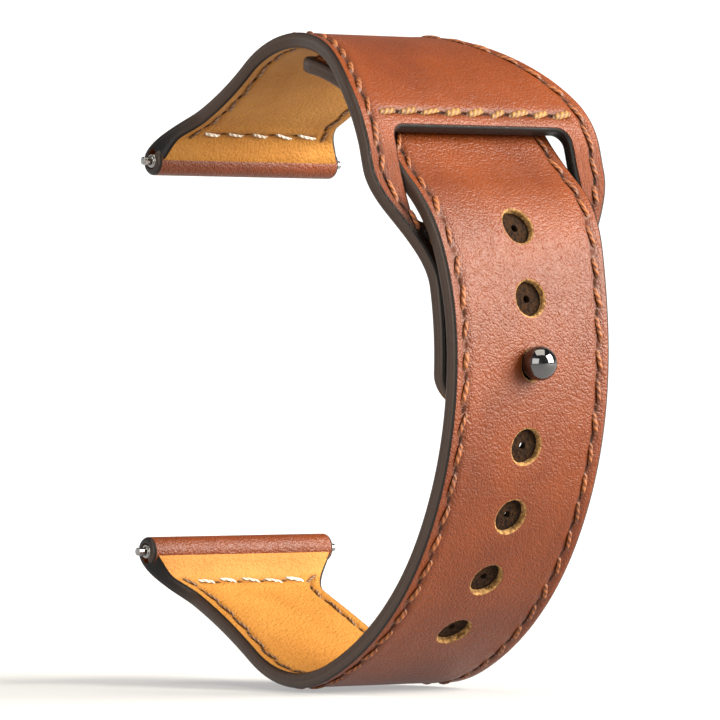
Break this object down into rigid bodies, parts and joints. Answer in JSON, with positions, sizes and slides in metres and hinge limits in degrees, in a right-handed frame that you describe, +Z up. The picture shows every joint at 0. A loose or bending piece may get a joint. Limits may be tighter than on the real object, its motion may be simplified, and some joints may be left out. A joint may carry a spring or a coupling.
{
  "type": "leather watch strap",
  "caption": "Two-piece leather watch strap closed as a loop, its free end tucked through a slot and held by a stud, with sprung bars at both ends.",
  "frame": {"origin": "on the ground under the middle of the closed loop, midway between its two edges", "axes": "+Z up as the loop stands in the picture, +X away from the watch towards the stud, +Y along the spring bars to the far edge"},
  "size_m": [0.0498, 0.0282, 0.0626],
  "materials": {
    "face_leather": "fine grained",
    "lining_leather": "natural",
    "face_thread": "waxed thread",
    "lining_thread": "waxed thread",
    "stud_steel": "polished gunmetal",
    "bar_steel": "polished",
    "spring_steel": "drawn wire"
  },
  "bodies": {
    "short_strap": {"short_face_leather": "face_leather", "short_lining": "lining_leather", "short_face_thread": "face_thread", "short_lining_thread": "lining_thread", "stud": "stud_steel", "stud_screw": "stud_steel"},
    "long_strap": {"long_face_leather": "face_leather", "long_lining": "lining_leather", "long_face_thread": "face_thread", "long_lining_thread": "lining_thread"},
    "upper_bar": {"upper_bar_tube": "bar_steel", "upper_bar_spring": "spring_steel"},
    "lower_bar": {"lower_bar_tube": "bar_steel", "lower_bar_spring": "spring_steel"},
    "upper_front_tip": {"upper_bar_front_tip": "bar_steel"},
    "upper_back_tip": {"upper_bar_back_tip": "bar_steel"},
    "lower_front_tip": {"lower_bar_front_tip": "bar_steel"},
    "lower_back_tip": {"lower_bar_back_tip": "bar_steel"}
  },
  "joints": [
    {"name": "long piece lifts off the stud", "type": "hinge", "parent": "short_strap", "child": "long_strap", "pos_m": [0.01635, 0, 0.04706], "axis": [0, -1, 0], "range_deg": [0, 13.5]},
    {"name": "upper bar turns", "type": "hinge", "parent": "short_strap", "child": "upper_bar", "pos_m": [-0.02262, 0, 0.05026], "axis": [0, 1, 0], "continuous": true},
    {"name": "lower bar turns", "type": "hinge", "parent": "long_strap", "child": "lower_bar", "pos_m": [-0.02352, 0, 0.01246], "axis": [0, 1, 0], "continuous": true},
    {"name": "upper front tip presses in", "type": "slide", "parent": "upper_bar", "child": "upper_front_tip", "axis": [0, 1, 0], "range_m": [0, 0.001], "stiffness_N_per_m": 700, "springref_m": -0.001, "deforming": ["upper_bar_spring"]},
    {"name": "upper back tip presses in", "type": "slide", "parent": "upper_bar", "child": "upper_back_tip", "axis": [0, -1, 0], "range_m": [0, 0.001], "stiffness_N_per_m": 700, "springref_m": -0.001, "deforming": ["upper_bar_spring"]},
    {"name": "lower front tip presses in", "type": "slide", "parent": "lower_bar", "child": "lower_front_tip", "axis": [0, 1, 0], "range_m": [0, 0.001], "stiffness_N_per_m": 700, "springref_m": -0.001, "deforming": ["lower_bar_spring"]},
    {"name": "lower back tip presses in", "type": "slide", "parent": "lower_bar", "child": "lower_back_tip", "axis": [0, -1, 0], "range_m": [0, 0.001], "stiffness_N_per_m": 700, "springref_m": -0.001, "deforming": ["lower_bar_spring"]}
  ]
}
